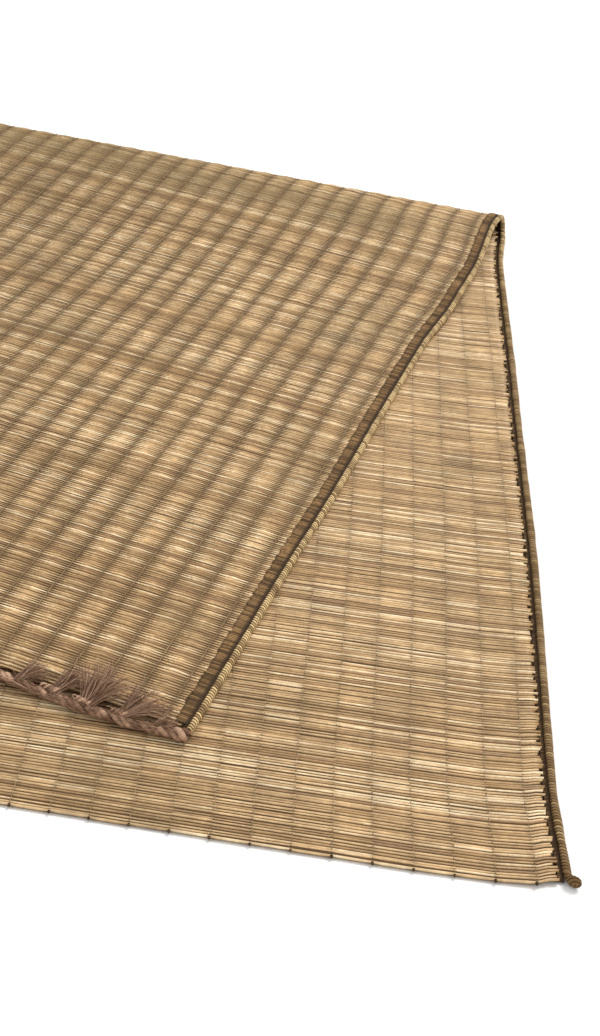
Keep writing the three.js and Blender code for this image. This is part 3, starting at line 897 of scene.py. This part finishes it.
def band_piece(name, right, sizes, material, seed):
    """A side band: a strip on the outer face raised in stitches that lie across it, each of
    its own tone, its outer part darkened by painted shade where it goes in under the cord."""
    rng = np.random.default_rng(seed)
    section, relief, shade, under_cord_shade = np.array(BAND_SECTION).T
    s = np.arange(float(end_at(0)) + 1.5, LENGTH - 1.2, sizes.stitch_pitch * MM / 2)
    w = section if right else WIDTH - section
    s2 = s[:, None] + 0 * w[None]
    stitch = np.arange(len(s)) // 2
    w2 = w[None] + rng.normal(0, 0.05, s2.shape)
    w2[:, -1] += rng.normal(0, 0.5, stitch.max() + 1)[stitch] * (1 if right else -1)
    _, _, out = axes(w2, s2)
    mid = middle(w2, s2)
    raised = (np.arange(len(s)) % 2)[:, None]
    height = BAND_TOP + relief[None] * raised + rng.normal(0, 0.04, s2.shape)
    upper = mid + out * height[..., None]
    lower = mid + out * np.interp(-section, *zip(*BAND_LOWER))[None, :, None]
    near = smooth(-20, 20, arc_at(w2, s2))[..., None]
    ring, faces = shell(upper * near + lower * (1 - near), mid + out * BAND_UNDER)
    uv = np.stack([w2, s2], -1) / MM
    uv = np.concatenate([uv, uv[:, ::-1]], 1)
    worn = drifting(s, (-20, 1960, 17.0), lambda marks: rng.uniform(0.75, 1.05, marks))
    tone = worn[:, None] * shade[None]
    tone = np.concatenate([tone, tone[:, ::-1]], 1)
    # Painted shade at the band's edges, most under the cord, and all over its underside
    under_cord_shade = 0 * s2 + under_cord_shade[None]
    groove_shade = np.concatenate([under_cord_shade, 1 + 0 * under_cord_shade], 1)
    return build(name, ring, faces, uv, {"tone": tone, "groove_shade": groove_shade}, material)


# The end cord and its tufts

STRANDS = 3
STRAND_OUT = 1.85
STRAND_RADIUS = 1.95
STRAND_SIDES = 9
BRAID_STEP = 1.5
BRAID_SWELL = 1.25

# Loose strands of the end cord, winding turns on a tuft's roots, and their stations and sides
LONG_STRANDS = 11
ROOT_TURNS = 6
LOOSE_STATIONS = 60
LOOSE_SIDES = 5

# Stray fibres along the whole cord and near the tufts
STRAYS_ALL = 330
STRAYS_NEAR = 190


def braid_piece(sizes, material, seed):
    """The end cord: three strands, each a tube carried round the end cord's middle line on
    a helix, swollen to a knot at both corners."""
    rng = np.random.default_rng(seed)
    v = np.arange(-CORD_OFFSET - 1, WIDTH + CORD_OFFSET + 1, BRAID_STEP)
    line = braid_line(v)
    side, up = path_frame(line)
    from_end = np.minimum(v - v[0], v[-1] - v)
    swell = BRAID_SWELL * np.exp(-((from_end - 4.5) / 4.0) ** 2)
    turn = 2 * math.pi * v / (sizes.braid_pitch * MM)
    off = (STRAND_OUT + swell)[:, None]
    centres = []
    for k in range(STRANDS):
        a = turn + k * 2 * math.pi / STRANDS + 0.25 * np.sin(v / 23.0 + k)
        centres.append(line + (side * np.cos(a)[:, None] + up * np.sin(a)[:, None]) * off)
    centre = np.stack(centres)
    level, over = path_frame(centre)
    rough = rng.normal(0, 0.14, centre.shape[:2])
    r = STRAND_RADIUS + 0.5 * swell[None] + rough
    points, faces = tubes(centre, level, over, r, r * 0.92, STRAND_SIDES)
    points = points + rng.normal(0, 0.07, points.shape)
    keep_above(points, 0.25)
    slow = np.stack([drifting(v, (-20, 940, 9.0), rng.random) for _ in range(STRANDS)])
    tone = ringed(0.9 * slow - 0.1 + rng.normal(0, 0.12, centre.shape[:2]), STRAND_SIDES)
    a = np.arange(STRAND_SIDES) / STRAND_SIDES
    uv = np.stack(np.broadcast_arrays(a[None, None] * 12, v[None, :, None] + 0 * r[:, :, None]), -1) / MM
    # Painted shade in the crevices between the strands and on the cord's underside
    inner = np.linalg.norm(points - line[None, :, None], axis=-1)
    under = np.clip((line[None, :, None, 2] - points[..., 2]) / 3.0, 0, 0.8)
    groove_shade = np.maximum(np.clip((3.6 - inner) / 1.6, 0, 1), under)
    return build("end_twist", points, faces, uv, {"tone": tone, "groove_shade": groove_shade}, material)


def fibres(name, root, heading, length, radius, curl, material, rng, steps, droop):
    """Loose fibres: tapering three-sided tubes from each root along its heading, bent by a
    slow curl that grows with the square of the distance, and by their own weight."""
    n, sides = len(root), 3
    k = np.linspace(0, 1, steps)[None]
    side = unit(np.cross(heading, rng.normal(0, 1, (n, 3))))
    over = unit(np.cross(heading, side))
    bend = rng.normal(0, curl, (n, 2))
    wave = rng.uniform(0, 6.28, (n, 2))
    reach = length[:, None] * k
    path = root[:, None] + heading[:, None] * reach[..., None]
    for way, sweep, one in ((side, 5, slice(0, 1)), (over, 4, slice(1, 2))):
        sway = bend[:, one] * reach * k + 0.35 * np.sin(sweep * k + wave[:, one]) * k
        path += way[:, None] * sway[..., None]
    path[..., 2] -= droop * reach * k
    keep_above(path, 0.6)
    level, up = path_frame(path)
    r = radius[:, None] * (1.05 - 0.75 * k ** 2)
    points, faces = tubes(path, level, up, r, r * 0.8, sides)
    tone = ringed(np.repeat(rng.random(n)[:, None], steps, 1), sides)
    uv = np.stack(np.broadcast_arrays(reach[:, :, None], tone * 3), -1) / MM
    return build(name, points, faces, uv, plain(tone), material)


def tuft_piece(sizes, material, seed):
    """Frayed tufts over the end cord: the locks of TUFTS, each a bundle of fibres that
    spread a little from one root on the cord."""
    rng = np.random.default_rng(seed)
    n = sizes.tuft_fibres
    roots, headings, lengths = [], [], []
    for warp, locks, length, spread, lean, side in TUFTS:
        for f in np.linspace(-0.5, 0.5, locks):
            turn = math.radians(side + f * spread * 1.6) + rng.normal(0, 0.05)
            rise = math.radians(90 - lean + rng.normal(0, 4))
            t = turn + rng.normal(0, 0.09, n)
            q = rise + rng.normal(0, 0.09, n)
            heading = np.stack([-np.sin(t) * np.cos(q), np.cos(t) * np.cos(q), np.sin(q)], -1)
            at = FIRST_WARP + warp * WARP_PITCH + f * min(5, locks * 0.7)
            root = braid_line(np.full(n, at)) + rng.normal(0, 0.7, (n, 3))
            root[:, 2] += LOCK_ROOT_UP
            roots.append(root)
            headings.append(unit(heading))
            lengths.append(length * rng.uniform(0.66, 1.12, n))
    root, heading, length = map(np.concatenate, (roots, headings, lengths))
    radius = rng.uniform(0.16, 0.33, len(root))
    return fibres("frayed_tufts", root, heading, length, radius, 0.20, material, rng, 9, 0.3)


def strand_piece(material, seed):
    """Loose strands of the end cord: long ones that hang beside and under it toward the left
    and short thick ones wound over the roots of the tufts, each a tube that wanders."""
    rng = np.random.default_rng(seed)
    m = LOOSE_STATIONS
    taper = np.sqrt(np.clip(np.sin(np.linspace(0.05, 3.09, m)), 0.02, 1))
    paths, radii = [], []
    for _ in range(LONG_STRANDS):
        v = np.linspace(rng.uniform(42, 95), rng.uniform(190, 420), m)
        line = braid_line(v)
        low = 3.2 + 2.2 * np.sin(np.linspace(0, 3.1, m)) * rng.uniform(0.3, 1.0)
        angle = rng.uniform(-2.6, 0.9) + 0.5 * np.sin(v / rng.uniform(14, 30))
        line[:, 1] -= low * np.cos(angle)
        line[:, 2] += 3.6 * np.sin(angle) * 0.9
        paths.append(line)
        radii.append(rng.uniform(0.35, 0.8) * taper)
    for warp, *_ in TUFTS[1:4]:
        for k in range(ROOT_TURNS):
            v = FIRST_WARP + warp * WARP_PITCH + np.linspace(-8, 9, m) * rng.uniform(0.7, 1.2)
            line = braid_line(v)
            t = np.linspace(0, 9, m) + k * 1.05
            line[:, 1] += 2.6 + 1.9 * np.cos(t)
            line[:, 2] += 3.9 + 1.5 * np.sin(t)
            paths.append(line)
            radii.append(rng.uniform(0.7, 1.1) * taper)
    path, r = np.stack(paths), np.stack(radii)
    keep_above(path, r + 3.3)
    level, up = path_frame(path)
    points, faces = tubes(path, level, up, r, r * 0.85, LOOSE_SIDES)
    tone = np.zeros(points.shape[:3]) + rng.uniform(0.1, 1.1, (len(paths), 1, 1))
    far = np.linspace(0, 0.2, m)[None, :, None]
    uv = np.stack(np.broadcast_arrays(np.arange(LOOSE_SIDES)[None, None] * 0.002, far + tone), -1)
    return build("loose_strands", points, faces, uv, plain(tone), material)


def stray_piece(material, seed):
    """Stray fibres that lie along the end cord and stand out of it a little."""
    rng = np.random.default_rng(seed)
    n = STRAYS_ALL + STRAYS_NEAR
    v = np.concatenate([rng.uniform(-5, WIDTH + 5, STRAYS_ALL), rng.uniform(-6, 240, STRAYS_NEAR)])
    line = braid_line(v)
    ahead = unit(braid_line(v + 1) - line)
    out = np.array([0.0, -0.5, 0.9])[None] + rng.normal(0, 0.5, (n, 3))
    root = line + unit(out) * rng.uniform(2.2, 3.6, (n, 1))
    keep_above(root, 4.6)
    heading = ahead * rng.choice([-1, 1], (n, 1)) + rng.normal(0, 0.2, (n, 3))
    heading[:, 2] = np.abs(heading[:, 2]) * 0.5
    length, radius = rng.uniform(6, 21, n), rng.uniform(0.14, 0.26, n)
    return fibres("stray_fibres", root, unit(heading), length, radius, 0.2, material, rng, 7, 0.12)


# Operators


class GRASSMAT_OT_sheet(bpy.types.Operator):
    """Makes the woven sheet: its grass stems and a dark sheet of painted shade between them"""

    bl_idname = "grassmat.sheet"
    bl_label = "Woven sheet"

    def execute(self, context):
        gap_shade = gap_shade_piece(finish_for("gap_shade_sheet"))
        finish = context.scene.grass_mat_sizes, finish_for("dry_grass_stems")
        stems = [stem_piece(*row, *finish) for row in STEM_PIECES]
        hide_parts("mat_sheet")
        return {"FINISHED"}


class GRASSMAT_OT_threads(bpy.types.Operator):
    """Makes the warp threads on both faces and their knots at the lower end"""

    bl_idname = "grassmat.threads"
    bl_label = "Warp threads"

    def execute(self, context):
        finish = context.scene.grass_mat_sizes, finish_for("warp_thread")
        for row in THREAD_PIECES:
            thread_piece(*row, *finish)
        knot_ticks(finish_for("stitched_fibre"), 23)
        return {"FINISHED"}


class GRASSMAT_OT_cords(bpy.types.Operator):
    """Makes the wrapped side cords and the stitched side bands"""

    bl_idname = "grassmat.cords"
    bl_label = "Side cords and bands"

    def execute(self, context):
        sizes = context.scene.grass_mat_sizes
        for hand, right in (("right", True), ("left", False)):
            cord = cord_piece(f"wrapped_cord_{hand}", right, sizes, finish_for("wrapped_straw"), 31 + right)
            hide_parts(f"side_binding_{hand}")
            band = band_piece(f"stitched_band_{hand}", right, sizes, finish_for("stitched_fibre"), 41 + right)
            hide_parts(f"side_band_{hand}")
        return {"FINISHED"}


class GRASSMAT_OT_end_cord(bpy.types.Operator):
    """Makes the twisted end cord with its frayed tufts and stray fibres"""

    bl_idname = "grassmat.end_cord"
    bl_label = "End cord and tufts"

    def execute(self, context):
        sizes = context.scene.grass_mat_sizes
        bast = finish_for("bast_fibre")
        twist = braid_piece(sizes, bast, 51)
        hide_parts("end_braid")
        tuft_piece(sizes, bast, 52)
        strand_piece(bast, 54)
        stray_piece(bast, 53)
        return {"FINISHED"}


# The camera in the mat's own frame, mm and radians, and the picture it makes, pixels
CAMERA_AT = (-207.77, -763.79, 744.68)
CAMERA_DOWN = 0.5893
CAMERA_YAW = -0.0514
CAMERA_ROLL = -0.1127
FOCAL_PIXELS = 1705.0
AXIS_PIXEL = (188.56, 517.35)
PICTURE_PIXELS = (600.0, 1036.0)
SENSOR = 36.0


def place_camera():
    """The camera: looks along yaw and down, turned about its axis by the roll, its shift
    set by how far the axis is from the picture's middle."""
    e, yaw, roll = CAMERA_DOWN, CAMERA_YAW, CAMERA_ROLL
    ahead = Vector((math.sin(yaw) * math.cos(e), math.cos(yaw) * math.cos(e), -math.sin(e)))
    right = Vector((math.cos(yaw), -math.sin(yaw), 0.0))
    up = right.cross(ahead)
    side = right * math.cos(roll) - up * math.sin(roll)
    top = right * math.sin(roll) + up * math.cos(roll)
    wide, high = PICTURE_PIXELS
    data = bpy.data.cameras.new("view")
    data.sensor_width = SENSOR
    data.lens = FOCAL_PIXELS / high * SENSOR
    data.shift_x = (wide / 2 - AXIS_PIXEL[0]) / high
    data.shift_y = (AXIS_PIXEL[1] - high / 2) / high
    data.clip_start, data.clip_end = 0.01, 50.0
    camera = bpy.data.objects.new("view", data)
    bpy.context.scene.collection.objects.link(camera)
    x, y, z = CAMERA_AT
    at = Vector(((x - CENTRE[0]) / MM, (y - CENTRE[1]) / MM, z / MM))
    turn = Matrix((side, top, -ahead)).transposed()
    camera.matrix_world = Matrix.Translation(at) @ turn.to_4x4()
    bpy.context.scene.camera = camera


# The stage: half the floor's width and its height in metres, and the two lights
FLOOR_HALF = 9
FLOOR_AT = -0.0002
ROOM_STRENGTH = 0.88
SUN_STRENGTH = 1.75
SUN_ANGLE = 0.4
SUN_COLOUR = (1.0, 0.98, 0.95)
SUN_FROM = (0.42, 0.62, 1.0)


class GRASSMAT_OT_stage(bpy.types.Operator):
    """Makes the pale floor, the soft light and the camera"""

    bl_idname = "grassmat.stage"
    bl_label = "Floor, light and camera"

    def execute(self, context):
        scene = context.scene
        mesh = bpy.data.meshes.new("floor")
        corners = ((-1, -1), (1, -1), (1, 1), (-1, 1))
        points = [(a * FLOOR_HALF, b * FLOOR_HALF, FLOOR_AT) for a, b in corners]
        mesh.from_pydata(points, [], [(0, 1, 2, 3)])
        mesh.materials.append(plain_material("pale_floor", scene.grass_mat_colours.floor, 0.8))
        floor = bpy.data.objects.new("floor", mesh)
        scene.collection.objects.link(floor)
        world = bpy.data.worlds.new("soft_room")
        world.use_nodes = True
        room = world.node_tree.nodes["Background"].inputs
        room["Color"].default_value = (1.0, 1.0, 1.0, 1.0)
        room["Strength"].default_value = ROOM_STRENGTH
        scene.world = world
        scene.view_settings.view_transform = "Standard"
        sun = bpy.data.lights.new("key", "SUN")
        sun.energy, sun.angle, sun.color = SUN_STRENGTH, SUN_ANGLE, SUN_COLOUR
        key = bpy.data.objects.new("key", sun)
        key.rotation_euler = Vector(SUN_FROM).to_track_quat("Z", "Y").to_euler()
        scene.collection.objects.link(key)
        place_camera()
        return {"FINISHED"}


OPERATORS = (GRASSMAT_OT_sheet, GRASSMAT_OT_threads, GRASSMAT_OT_cords, GRASSMAT_OT_end_cord,
             GRASSMAT_OT_stage)


class GRASSMAT_PT_panel(bpy.types.Panel):
    """Lists the mat's pieces and settings"""

    bl_idname = "GRASSMAT_PT_panel"
    bl_label = "Grass mat"
    bl_space_type = "VIEW_3D"
    bl_region_type = "UI"
    bl_category = "Grass mat"

    def draw(self, context):
        for operator in OPERATORS:
            self.layout.operator(operator.bl_idname)
        for settings in (context.scene.grass_mat_sizes, context.scene.grass_mat_colours):
            for key in settings.__annotations__:
                self.layout.prop(settings, key)


CLASSES = (GRASSMAT_PG_sizes, GRASSMAT_PG_colours, *OPERATORS, GRASSMAT_PT_panel)


def register():
    for cls in CLASSES:
        bpy.utils.register_class(cls)
    bpy.types.Scene.grass_mat_sizes = PointerProperty(type=GRASSMAT_PG_sizes)
    bpy.types.Scene.grass_mat_colours = PointerProperty(type=GRASSMAT_PG_colours)


def unregister():
    del bpy.types.Scene.grass_mat_colours
    del bpy.types.Scene.grass_mat_sizes
    for cls in reversed(CLASSES):
        bpy.utils.unregister_class(cls)


def main():
    register()
    bpy.ops.grassmat.sheet()
    bpy.ops.grassmat.threads()
    bpy.ops.grassmat.cords()
    bpy.ops.grassmat.end_cord()
    bpy.ops.grassmat.stage()
    bpy.context.view_layer.update()


if __name__ == "__main__":
    main()
